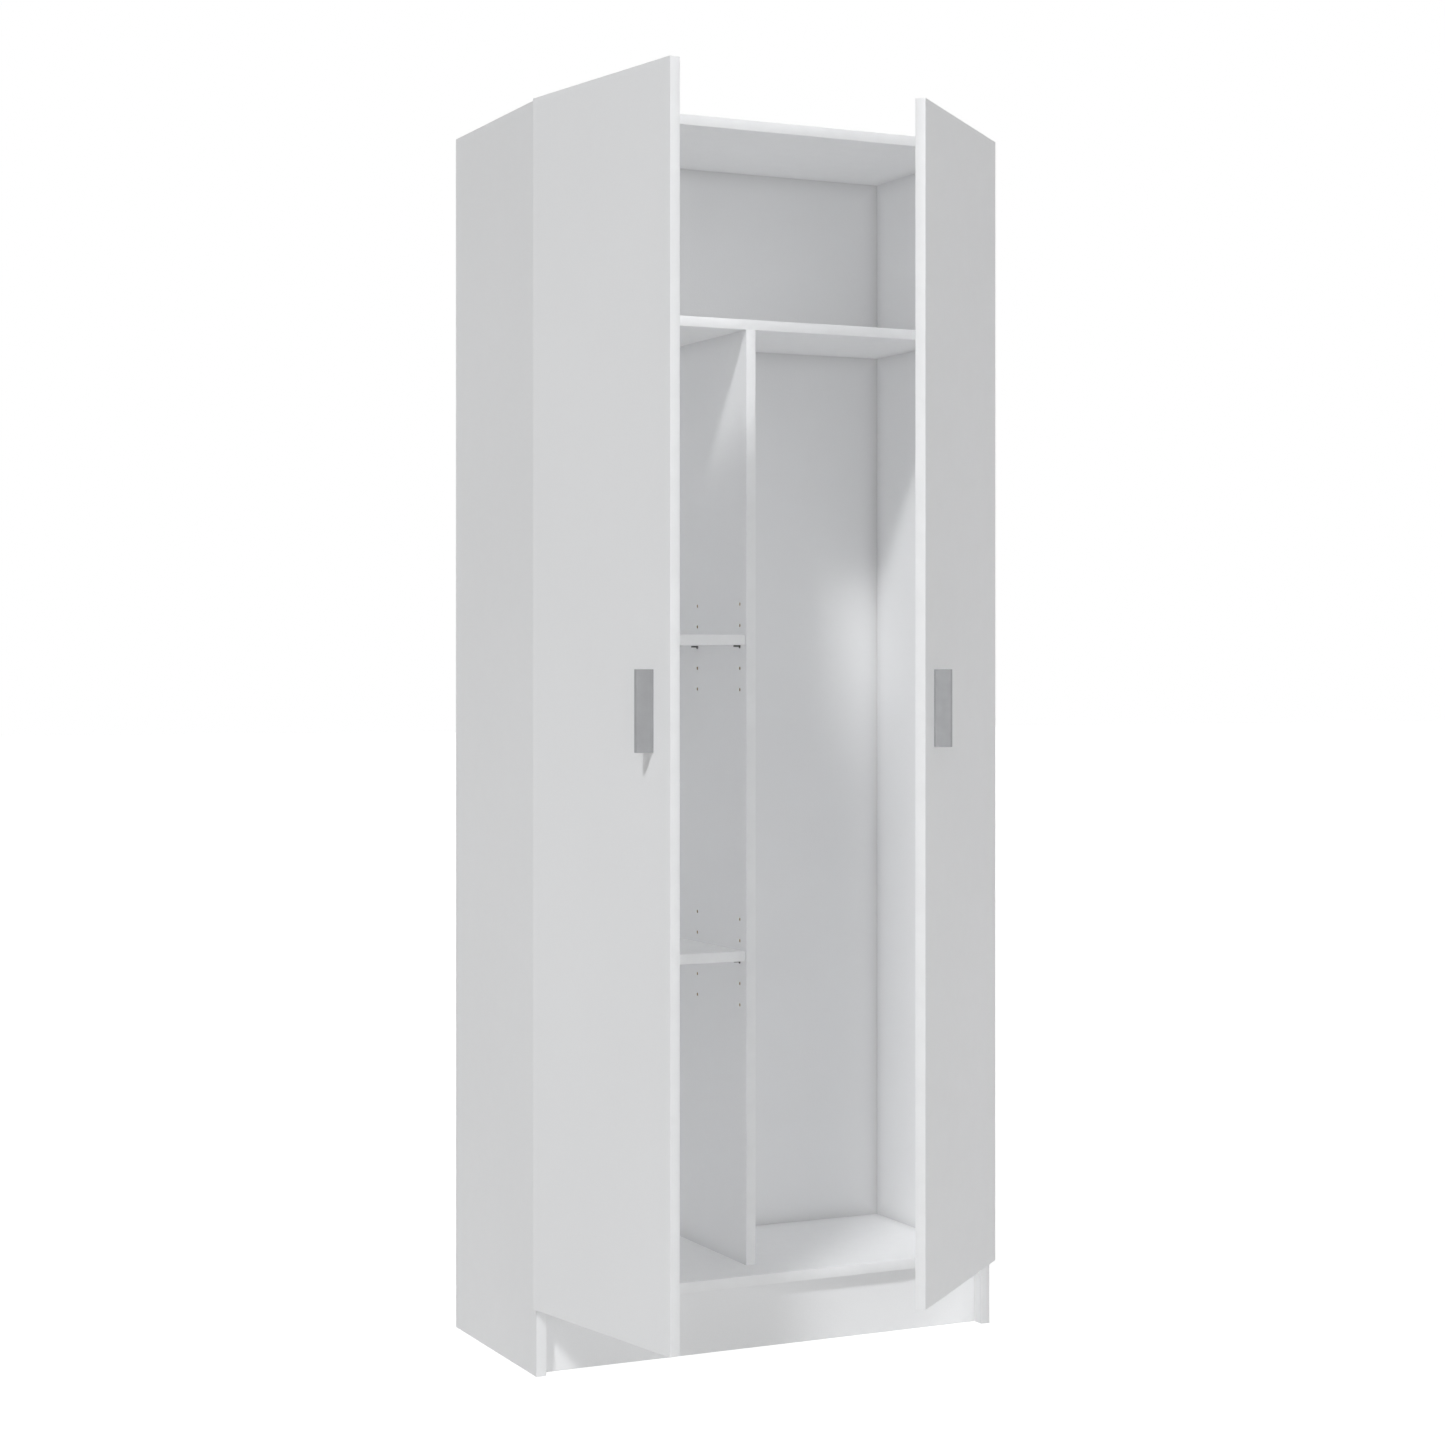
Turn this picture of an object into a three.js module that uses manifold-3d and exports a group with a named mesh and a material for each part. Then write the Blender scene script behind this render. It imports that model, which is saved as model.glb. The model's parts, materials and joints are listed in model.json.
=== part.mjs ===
// A tall two-door utility wardrobe in 15 mm white board: a carcass with a fixed upper shelf, a centre
// divider and two adjustable shelves on its left side, and two doors on concealed cup hinges.
// Millimetres, +Z up, doors towards -Y. The origin is on the floor, under the middle of the plinth.

import * as THREE from 'three';
import { mergeVertices } from 'three/addons/utils/BufferGeometryUtils.js';
import Module from 'manifold-3d';

const wasm = await Module();
wasm.setup();

// Carcass
const HEIGHT = 1800;
const WIDTH = 730;
const BOARD = 15;
const SIDE_DEPTH = 350.5;
const BACK_THICKNESS = 3;
const BACK_INSET = 1.5; // the back panel stops this far inside the carcass outline
const JOINT_GAP = 0.2; // the hairline where two boards meet
const HORIZONTAL_SETBACK = 4.5; // top and bottom panels, behind the front edges of the sides
const BOTTOM_TOP = 109.5;
const PLINTH_SETBACK = 20.5;
const UPPER_SHELF_TOP = 1517.8;
const DIVIDER_SETBACK = 74.5;
const UPPER_SHELF_SETBACK = 76.5;

// Adjustable shelves and their pins
const SHELF_TOPS = { middle: 1048.5, lower: 577 };
const SHELF_SETBACK = 77;
const SHELF_CLEARANCE = 1; // at each end and at the back
const HOLE_RADIUS = 2.6;
const HOLE_DEPTH = 9;
const HOLE_PITCH = 32;
const HOLES_EACH_WAY = 2; // spare holes above and below the one in use
const FRONT_HOLE_Y = 98.5;
const HOLE_COLUMN_SPACING = 160;
const PIN_DROP = 3; // hole centre below the underside of the shelf
const PEG = { radius: 2.2, length: 8 };
const COLLAR = { radius: 3.6, length: 1.2, drop: 1 }; // its centre sits this far below the peg's
const TAB = { length: 9.5, width: 7 };

// Doors
const DOOR_TOP = 1799.5;
const DOOR_BOTTOM = 97;
const DOOR_REVEAL = 3.5; // outer plane of the side to the door's outer edge, closed
const DOOR_GAP = 3; // between the closed doors
const DOOR_STANDOFF = 1.5; // closed door's back to the front edges of the sides
const DOOR_AXIS = { fromEdge: 3, fromFront: 4.2 }; // in from the door's outer edge, ahead of the sides
const OPEN_ANGLE = { left: 80.5, right: 45 };

// Handles
const HANDLE_LENGTH = 110;
const HANDLE_MIDDLE = 942;
const HANDLE_FROM_EDGE = 43; // free edge of the door to the outer face of the grip wall
const GRIP = { depth: 24.3, wall: 2, bend: 2.6 };
const LIP = { reach: 6.8, thickness: 2.4, edge: 1.2, slope: 0.6 };
const FOOT = { reach: 2.5, edge: 1 };
const BASE = { width: 10.5, thickness: 2.2 };
const FILLET = { inside: 0.6, root: 1 }; // under the lip, and where the wall meets the base
const HANDLE_SCREW_SPACING = 96;
const SCREW = { shankRadius: 1.9, headRadius: 4, headHeight: 2.4, bite: 5 };
const BOSS = { radius: 3.6, height: 5.2, fromGripFace: 6.8 };

// Concealed hinges, three to a door
const HINGE_HEIGHTS = [197, 948, 1699];
const CUP = { radius: 17.3, wall: 1, corner: 1.5, depth: 11.3, fromEdge: 22.5, rim: 19, flange: 0.8 };
const CUP_SEGMENTS = 28;
const CUP_WING = { width: 15, halfSpan: 29, offset: 6, screwSpacing: 48, screwHole: 2.2 };
const CUP_BORE = { radius: 17.7, depth: 11.7 };
// The link's pivot, measured as the door axis is: inwards from the side's outer plane, ahead of its front.
const LINK_PIVOT = { fromSide: 18.6, fromFront: 2.9 };
const LINK_SWING = { closedAngle: 18.1, perDoorTurn: 1.22 };
const LINK = { length: 21.3, eye: 2.6, tip: 2, halfThickness: 1.3, halfHeight: 4 };
const HINGE_PIN = { radius: 1.5, bore: 1.9, halfLength: 7.2 };
// Along the side panel, the distances below are behind its front edge.
const PLATE = { thickness: 3, front: 19, rear: 53 };
const PLATE_CROSS = { front: 30, rear: 44, halfHeight: 24 };
const ARM = { height: 8, halfHeight: 7, rear: 54, chamfer: { height: 6, length: 3 } };
const ARM_BEND = { top: 14, neck: 9, seat: 16 };
const NOSE = { radius: 3, shoulder: 4 };
const FORK = { halfHeight: 4.4, deep: 12, open: 8, halfWidth: 12 };
const FIT_GAP = 0.3; // between two pieces that rest on each other

const HALF = WIDTH / 2;
const INNER = HALF - BOARD;
const BOTTOM_UNDER = BOTTOM_TOP - BOARD;
const UPPER_UNDER = UPPER_SHELF_TOP - BOARD;
const DIVIDER_FACE = BOARD / 2;
const PLATE_SEAT = BOARD + JOINT_GAP; // from the side's outer plane to the back of a hinge plate
const DOOR_WIDTH = HALF - DOOR_REVEAL - DOOR_GAP / 2;
const ORIGIN_Y = PLINTH_SETBACK + BOARD / 2; // the sides' front edges are this far ahead of the origin
const SIDES = { left: -1, right: 1 };

function material(color, roughness, metalness = 0) {
  return new THREE.MeshStandardMaterial({ color, roughness, metalness, flatShading: true });
}

const melamine = material(0xe9eaeb, 0.45);
const hardboard = material(0xe2e3e4, 0.6);
const greyPlastic = material(0x9fa0a2, 0.45);
const nickel = material(0xb4b2ad, 0.3, 1);
const zinc = material(0x8f8f8c, 0.4, 1);

const wardrobe = new THREE.Group();
const carcass = new THREE.Group();
carcass.position.y = -ORIGIN_Y;
wardrobe.add(carcass);

// --- Shapes ---

function box([x0, x1], [y0, y1], [z0, z1]) {
  const shape = new THREE.BoxGeometry(Math.abs(x1 - x0), Math.abs(y1 - y0), Math.abs(z1 - z0));
  return shape.translate((x0 + x1) / 2, (y0 + y1) / 2, (z0 + z1) / 2);
}

// The span that reaches equally far to both sides of a middle.
function around(middle, reach) {
  return [middle - reach, middle + reach];
}

// A cylinder from one end point to the other along X, Y or Z.
function rod(axis, radius, [from, to], [a, b], segments = 12) {
  const shape = new THREE.CylinderGeometry(radius, radius, Math.abs(to - from), segments);
  const middle = (from + to) / 2;
  if (axis === 'x') return shape.rotateZ(Math.PI / 2).translate(middle, a, b);
  if (axis === 'y') return shape.translate(a, middle, b);
  return shape.rotateX(Math.PI / 2).translate(a, b, middle);
}

// An outline in the XY plane, extruded along Z from one height to another.
function upright(outline, [z0, z1], curveSegments = 4) {
  const options = { depth: z1 - z0, bevelEnabled: false, curveSegments };
  return new THREE.ExtrudeGeometry(outline, options).translate(0, 0, z0);
}

function solid(geometry) {
  const bare = geometry.clone();
  bare.deleteAttribute('normal');
  bare.deleteAttribute('uv');
  const merged = mergeVertices(bare, 1e-4);
  const vertProperties = new Float32Array(merged.attributes.position.array);
  const triVerts = new Uint32Array(merged.index.array);
  return new wasm.Manifold(new wasm.Mesh({ numProp: 3, vertProperties, triVerts }));
}

function geometryOf(manifold) {
  const mesh = manifold.getMesh();
  const geometry = new THREE.BufferGeometry();
  geometry.setAttribute('position', new THREE.BufferAttribute(new Float32Array(mesh.vertProperties), 3));
  geometry.setIndex(new THREE.BufferAttribute(new Uint32Array(mesh.triVerts), 1));
  return geometry;
}

// The first geometry with the others joined to it, then with the cutters taken away.
function shaped(bodies, cutters = []) {
  const joined = bodies.slice(1).reduce((sum, body) => sum.add(solid(body)), solid(bodies[0]));
  return geometryOf(cutters.reduce((rest, cutter) => rest.subtract(solid(cutter)), joined));
}

function addPiece(parent, name, geometry, finish) {
  const piece = new THREE.Mesh(geometry, finish);
  piece.name = name;
  parent.add(piece);
}

// --- Carcass ---

const SHELF_UNDERSIDES = Object.values(SHELF_TOPS).map((top) => top - BOARD);
const HOLE_COLUMNS = [FRONT_HOLE_Y, FRONT_HOLE_Y + HOLE_COLUMN_SPACING];

// Blind shelf-pin holes: two columns of five around each shelf, drilled from `face` to `end`.
function shelfHoles(face, end) {
  const holes = [];
  for (const underside of SHELF_UNDERSIDES) {
    for (let step = -HOLES_EACH_WAY; step <= HOLES_EACH_WAY; step += 1) {
      const z = underside - PIN_DROP + step * HOLE_PITCH;
      HOLE_COLUMNS.forEach((y) => holes.push(rod('x', HOLE_RADIUS, [face, end], [y, z])));
    }
  }
  return holes;
}

function addCarcass() {
  const across = [-INNER + JOINT_GAP, INNER - JOINT_GAP];
  const leftSide = box([-HALF, -INNER], [0, SIDE_DEPTH], [0, HEIGHT]);
  const holesInSide = shelfHoles(1 - INNER, -INNER - HOLE_DEPTH);
  addPiece(carcass, 'side_panel_left', shaped([leftSide], holesInSide), melamine);
  addPiece(carcass, 'side_panel_right', box([INNER, HALF], [0, SIDE_DEPTH], [0, HEIGHT]), melamine);

  const capped = [HORIZONTAL_SETBACK, SIDE_DEPTH];
  addPiece(carcass, 'top_panel', box(across, capped, [HEIGHT - BOARD, HEIGHT]), melamine);
  addPiece(carcass, 'bottom_panel', box(across, capped, [BOTTOM_UNDER, BOTTOM_TOP]), melamine);
  const plinthDepth = [PLINTH_SETBACK, PLINTH_SETBACK + BOARD];
  addPiece(carcass, 'plinth', box(across, plinthDepth, [0, BOTTOM_UNDER - JOINT_GAP]), melamine);
  const upperDepth = [UPPER_SHELF_SETBACK, SIDE_DEPTH];
  addPiece(carcass, 'upper_shelf', box(across, upperDepth, [UPPER_UNDER, UPPER_SHELF_TOP]), melamine);

  const dividerHeight = [BOTTOM_TOP + JOINT_GAP, UPPER_UNDER - JOINT_GAP];
  const divider = box([-DIVIDER_FACE, DIVIDER_FACE], [DIVIDER_SETBACK, SIDE_DEPTH], dividerHeight);
  const holesInDivider = shelfHoles(-DIVIDER_FACE - 1, -DIVIDER_FACE + HOLE_DEPTH);
  addPiece(carcass, 'divider', shaped([divider], holesInDivider), melamine);

  const backWidth = [-HALF + BACK_INSET, HALF - BACK_INSET];
  const backHeight = [BOTTOM_UNDER + BACK_INSET, HEIGHT - BACK_INSET];
  const back = box(backWidth, [SIDE_DEPTH + JOINT_GAP, SIDE_DEPTH + BACK_THICKNESS], backHeight);
  addPiece(carcass, 'back_panel', back, hardboard);
}

// --- Adjustable shelves ---

// A shelf pin: a peg in the panel's hole, a collar on its face and a flat tab under the shelf.
// `face` is the panel's face and `out` is the direction away from it.
function shelfPin(face, out, y, underside) {
  const z = underside - PIN_DROP;
  const start = face + out * FIT_GAP;
  const top = underside - FIT_GAP;
  const peg = rod('x', PEG.radius, [face - out * PEG.length, start + out], [y, z], 10);
  const collar = rod('x', COLLAR.radius, [start, start + out * COLLAR.length], [y, z - COLLAR.drop]);
  const tabY = [y - TAB.width / 2, y + TAB.width / 2];
  const tab = box([start, start + out * TAB.length], tabY, [z, top]);
  const { radius } = COLLAR;
  const aboveTab = box([start - radius, start + radius], [y - radius, y + radius], [top, top + radius]);
  return shaped([peg, collar, tab], [aboveTab]);
}

function addShelf(name, top) {
  const ends = [-INNER + SHELF_CLEARANCE, -DIVIDER_FACE - SHELF_CLEARANCE];
  const depth = [SHELF_SETBACK, SIDE_DEPTH - SHELF_CLEARANCE];
  addPiece(carcass, `${name}_shelf`, box(ends, depth, [top - BOARD, top]), melamine);
  HOLE_COLUMNS.forEach((y, column) => {
    const place = column === 0 ? 'front' : 'rear';
    const sidePin = shelfPin(-INNER, 1, y, top - BOARD);
    const dividerPin = shelfPin(-DIVIDER_FACE, -1, y, top - BOARD);
    addPiece(carcass, `shelf_pin_${name}_side_${place}`, sidePin, zinc);
    addPiece(carcass, `shelf_pin_${name}_divider_${place}`, dividerPin, zinc);
  });
}

// --- Hinges ---

// The carcass X and Y of a point given as [inwards from a side's outer plane, ahead of the sides].
function fromCorner(side, [inwards, ahead]) {
  return [side * (HALF - inwards), -ahead];
}

function cornerOutline(side, points) {
  return new THREE.Shape(points.map((point) => new THREE.Vector2(...fromCorner(side, point))));
}

function hingePlate(side, height) {
  const x = [PLATE_SEAT, PLATE_SEAT + PLATE.thickness].map((inwards) => side * (HALF - inwards));
  const strip = box(x, [PLATE.front, PLATE.rear], around(height, ARM.halfHeight));
  const cross = box(x, [PLATE_CROSS.front, PLATE_CROSS.rear], around(height, PLATE_CROSS.halfHeight));
  return shaped([strip, cross]);
}

// The arm is screwed on the plate and ends in a fork that carries the hinge pin.
function hingeArm(side, height) {
  const { fromSide, fromFront } = LINK_PIVOT;
  const seat = PLATE_SEAT + PLATE.thickness + FIT_GAP;
  const top = seat + ARM.height;
  const { chamfer } = ARM;
  const profile = cornerOutline(side, [
    [seat, -ARM.rear], [seat + chamfer.height, -ARM.rear], [top, chamfer.length - ARM.rear],
    [top, -ARM_BEND.top],
    [fromSide + NOSE.radius, fromFront - NOSE.shoulder], [fromSide + NOSE.radius, fromFront],
    [fromSide - NOSE.radius, fromFront], [fromSide - NOSE.radius, -ARM_BEND.neck],
    [seat, -ARM_BEND.seat],
  ]);
  const span = around(height, ARM.halfHeight);
  const [pinX, pinY] = fromCorner(side, [fromSide, fromFront]);
  const nose = rod('z', NOSE.radius, span, [pinX, pinY], 16);
  const slotY = [pinY - FORK.open, pinY + FORK.deep];
  const slot = box(around(pinX, FORK.halfWidth), slotY, around(height, FORK.halfHeight));
  const bore = rod('z', HINGE_PIN.bore, around(height, ARM.halfHeight + 1), [pinX, pinY], 16);
  return shaped([upright(profile, span), nose], [slot, bore]);
}

// The swinging link, drawn from its pin along +X.
function hingeLink(height) {
  const span = around(height, LINK.halfHeight);
  const eye = rod('z', LINK.eye, span, [0, 0], 16);
  const tip = rod('z', LINK.tip, span, [LINK.length, 0]);
  const strap = box([0, LINK.length], around(0, LINK.halfThickness), span);
  const bore = rod('z', HINGE_PIN.bore, around(height, LINK.halfHeight + 1), [0, 0], 16);
  return shaped([eye, tip, strap], [bore]);
}

// The hinge cup, drawn round its own centre with its mouth towards +Y at Y = 0.
function hingeCup(inwards) {
  const { radius, wall, depth, rim, flange, corner } = CUP;
  const inside = radius - wall;
  const profile = [
    [0, -depth], [radius - corner, -depth], [radius, corner - depth], [radius, 0], [rim, 0], [rim, flange],
    [inside, flange], [inside, wall + corner - depth], [inside - corner, wall - depth], [0, wall - depth],
  ].map((point) => new THREE.Vector2(...point));
  const cup = new THREE.LatheGeometry(profile, CUP_SEGMENTS);
  const wingX = around(CUP_WING.offset, CUP_WING.width / 2).map((x) => inwards * x);
  const wings = box(wingX, [0, flange], around(0, CUP_WING.halfSpan));
  const mouth = rod('y', inside, [-wall, flange + 1], [0, 0], CUP_SEGMENTS);
  const screwHoles = [-1, 1].map((end) => {
    const place = [inwards * CUP_WING.offset, (end * CUP_WING.screwSpacing) / 2];
    return rod('y', CUP_WING.screwHole, [-1, flange + 1], place, 10);
  });
  return shaped([cup, wings], [mouth, ...screwHoles]);
}

function addHingesOnCarcass(name, side) {
  const [pinX, pinY] = fromCorner(side, [LINK_PIVOT.fromSide, LINK_PIVOT.fromFront]);
  const swing = LINK_SWING.closedAngle + LINK_SWING.perDoorTurn * OPEN_ANGLE[name];
  HINGE_HEIGHTS.forEach((height, index) => {
    const label = `${name}_${index + 1}`;
    addPiece(carcass, `hinge_plate_${label}`, hingePlate(side, height), nickel);
    addPiece(carcass, `hinge_arm_${label}`, hingeArm(side, height), nickel);
    const pin = rod('z', HINGE_PIN.radius, around(height, HINGE_PIN.halfLength), [pinX, pinY]);
    addPiece(carcass, `hinge_pin_${label}`, pin, zinc);
    const turned = new THREE.Group();
    turned.position.set(pinX, pinY, 0);
    turned.rotation.z = THREE.MathUtils.degToRad(side < 0 ? -swing : swing - 180);
    carcass.add(turned);
    addPiece(turned, `hinge_link_${label}`, hingeLink(height), nickel);
  });
}

// --- Doors and handles, drawn closed about the door's axis ---

// The handle's section on the door's front face: a base strip, a grip wall with a small foot towards
// the door's free edge, and a lip that turns back over the base. `free` is the direction of that edge.
function handleOutline(free, gripX, faceY) {
  const { depth, wall, bend } = GRIP;
  const at = (towardsHinge, out) => [gripX - free * towardsHinge, faceY - out];
  const outline = new THREE.Shape();
  outline.moveTo(...at(-FOOT.reach, 0));
  outline.lineTo(...at(-FOOT.reach, FOOT.edge));
  outline.quadraticCurveTo(...at(0, FOOT.edge), ...at(0, FOOT.edge + FOOT.reach));
  outline.lineTo(...at(0, depth - bend));
  outline.quadraticCurveTo(...at(0, depth), ...at(bend, depth));
  outline.lineTo(...at(LIP.reach, depth));
  outline.lineTo(...at(LIP.reach, depth - LIP.thickness));
  outline.lineTo(...at(LIP.reach - LIP.edge, depth - LIP.thickness));
  outline.lineTo(...at(LIP.reach - LIP.edge - LIP.slope, depth - wall));
  outline.lineTo(...at(wall + FILLET.inside, depth - wall));
  outline.lineTo(...at(wall, depth - wall - FILLET.inside));
  outline.lineTo(...at(wall, BASE.thickness + FILLET.root));
  outline.lineTo(...at(wall + FILLET.root, BASE.thickness));
  outline.lineTo(...at(BASE.width, BASE.thickness));
  outline.lineTo(...at(BASE.width, 0));
  outline.closePath();
  return outline;
}

// Adds a handle and its two screws, and returns the holes that the screws need in the door.
function addHandle(door, name, free, gripX, faceY) {
  const baseY = faceY - FIT_GAP;
  const profile = upright(handleOutline(free, gripX, baseY), around(HANDLE_MIDDLE, HANDLE_LENGTH / 2));
  const screwX = gripX - free * BOSS.fromGripFace;
  const heights = around(HANDLE_MIDDLE, HANDLE_SCREW_SPACING / 2);
  const bossTop = baseY - BOSS.height;
  const bosses = heights.map((z) => rod('y', BOSS.radius, [baseY, bossTop], [screwX, z], 16));
  const boreRadius = SCREW.shankRadius + FIT_GAP;
  const bores = heights.map((z) => rod('y', boreRadius, [baseY + 1, bossTop - 1], [screwX, z]));
  addPiece(door, `handle_${name}`, shaped([profile, ...bosses], bores), greyPlastic);

  const headY = faceY + BOARD + FIT_GAP;
  heights.forEach((z, index) => {
    const shank = rod('y', SCREW.shankRadius, [headY + 1, faceY - SCREW.bite], [screwX, z], 10);
    const head = rod('y', SCREW.headRadius, [headY, headY + SCREW.headHeight], [screwX, z], 14);
    const label = index === 0 ? 'lower' : 'upper';
    addPiece(door, `handle_screw_${name}_${label}`, shaped([shank, head]), zinc);
  });
  return heights.map((z) => rod('y', boreRadius, [faceY - 1, faceY + BOARD + 1], [screwX, z]));
}

function addDoor(name, side) {
  const inwards = -side;
  const door = new THREE.Group();
  const [axisX, axisY] = fromCorner(side, [DOOR_REVEAL + DOOR_AXIS.fromEdge, DOOR_AXIS.fromFront]);
  door.position.set(axisX, axisY, 0);
  door.rotation.z = THREE.MathUtils.degToRad(side * OPEN_ANGLE[name]);
  carcass.add(door);

  const outerX = -inwards * DOOR_AXIS.fromEdge;
  const freeX = outerX + inwards * DOOR_WIDTH;
  const backY = DOOR_AXIS.fromFront - DOOR_STANDOFF;
  const frontY = backY - BOARD;
  const board = box([outerX, freeX], [frontY, backY], [DOOR_BOTTOM, DOOR_TOP]);
  const gripX = freeX - inwards * HANDLE_FROM_EDGE;
  const cutters = addHandle(door, name, inwards, gripX, frontY);

  const cupX = outerX + inwards * CUP.fromEdge;
  HINGE_HEIGHTS.forEach((height, index) => {
    const boreY = [backY + 1, backY - CUP_BORE.depth];
    cutters.push(rod('y', CUP_BORE.radius, boreY, [cupX, height], CUP_SEGMENTS));
    const cup = hingeCup(inwards).translate(cupX, backY + JOINT_GAP, height);
    addPiece(door, `hinge_cup_${name}_${index + 1}`, cup, nickel);
  });
  addPiece(door, `door_${name}`, shaped([board], cutters), melamine);
}

addCarcass();
Object.entries(SHELF_TOPS).forEach(([name, top]) => addShelf(name, top));
Object.entries(SIDES).forEach(([name, side]) => {
  addHingesOnCarcass(name, side);
  addDoor(name, side);
});

export default wardrobe;
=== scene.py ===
import json
import math

import bmesh
import bpy
from mathutils import Matrix, Vector


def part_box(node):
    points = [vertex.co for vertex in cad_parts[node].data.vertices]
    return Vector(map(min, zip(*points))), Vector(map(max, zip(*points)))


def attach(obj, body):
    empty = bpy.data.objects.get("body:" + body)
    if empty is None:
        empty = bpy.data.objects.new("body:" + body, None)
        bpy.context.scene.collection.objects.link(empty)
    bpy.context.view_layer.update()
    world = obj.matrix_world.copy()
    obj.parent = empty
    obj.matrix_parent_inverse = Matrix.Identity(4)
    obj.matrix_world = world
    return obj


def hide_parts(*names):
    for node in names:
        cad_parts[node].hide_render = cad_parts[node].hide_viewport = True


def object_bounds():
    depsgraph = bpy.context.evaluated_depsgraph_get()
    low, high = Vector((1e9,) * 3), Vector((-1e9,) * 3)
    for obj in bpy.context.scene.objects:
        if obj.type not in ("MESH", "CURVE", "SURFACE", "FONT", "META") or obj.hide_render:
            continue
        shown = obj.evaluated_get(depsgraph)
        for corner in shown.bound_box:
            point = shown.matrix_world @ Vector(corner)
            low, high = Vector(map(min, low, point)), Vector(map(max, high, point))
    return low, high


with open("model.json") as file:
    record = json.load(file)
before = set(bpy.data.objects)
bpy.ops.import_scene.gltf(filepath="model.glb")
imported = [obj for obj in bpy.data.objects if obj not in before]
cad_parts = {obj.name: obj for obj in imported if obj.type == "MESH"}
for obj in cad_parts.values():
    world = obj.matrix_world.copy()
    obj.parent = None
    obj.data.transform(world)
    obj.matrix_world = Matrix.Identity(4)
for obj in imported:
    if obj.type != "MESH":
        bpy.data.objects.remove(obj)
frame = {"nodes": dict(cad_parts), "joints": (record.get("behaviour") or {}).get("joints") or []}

CAD_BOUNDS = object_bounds()

# A white two-door utility wardrobe. The carcass, doors, shelves and hinge parts come from the CAD
# frame; this script finishes their surfaces and adds the hardware that the frame leaves out.
# Lengths are in metres.
MM = 0.001
NODES = frame["nodes"]
JOINTS = {joint["name"]: joint for joint in frame["joints"]}
SIDES = {"left": -1, "right": 1}
STILL = Matrix.Identity(4)

# Camera, from the perspective of the reference view
CAMERA_PLACE = (-1.7802, -3.8862, 0.9969)
CAMERA_YAW = 27.68  # degrees, towards +X from straight ahead
LENS = 72.07  # millimetres, on a 36 mm sensor
SHIFT = (-0.136, -0.0368)

# Studio light, matched to the tones of the reference view: far soft suns, a surround that casts its own
# soft shading, and a shadowless fill that lifts the inside of the wardrobe
SUNS = {
    "key_left": {"azimuth": -44, "elevation": 45, "spread": 8, "strength": 1.6},
    "key_right": {"azimuth": 43, "elevation": 44, "spread": 8, "strength": 0.34},
    "front": {"azimuth": 5, "elevation": 15, "spread": 50, "strength": 0.53},
    "fill_front": {"azimuth": 0, "elevation": 0, "spread": 180, "strength": 0.41, "shadow": False},
    "fill_back": {"azimuth": 180, "elevation": 0, "spread": 180, "strength": 0.41, "shadow": False},
}
LIGHT_COLOUR = (0.993, 1.0, 1.012)
SURROUND = 0.26
FLOOR_GLOW = 0.43  # what the floor gives to the object, while the camera sees it as plain white
FLOOR_TONE = 0.1
FLOOR_HALF = 40
SUN_DISTANCE = 6  # only where the lamp is drawn: a sun lights by direction


# --- Materials ---

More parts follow.
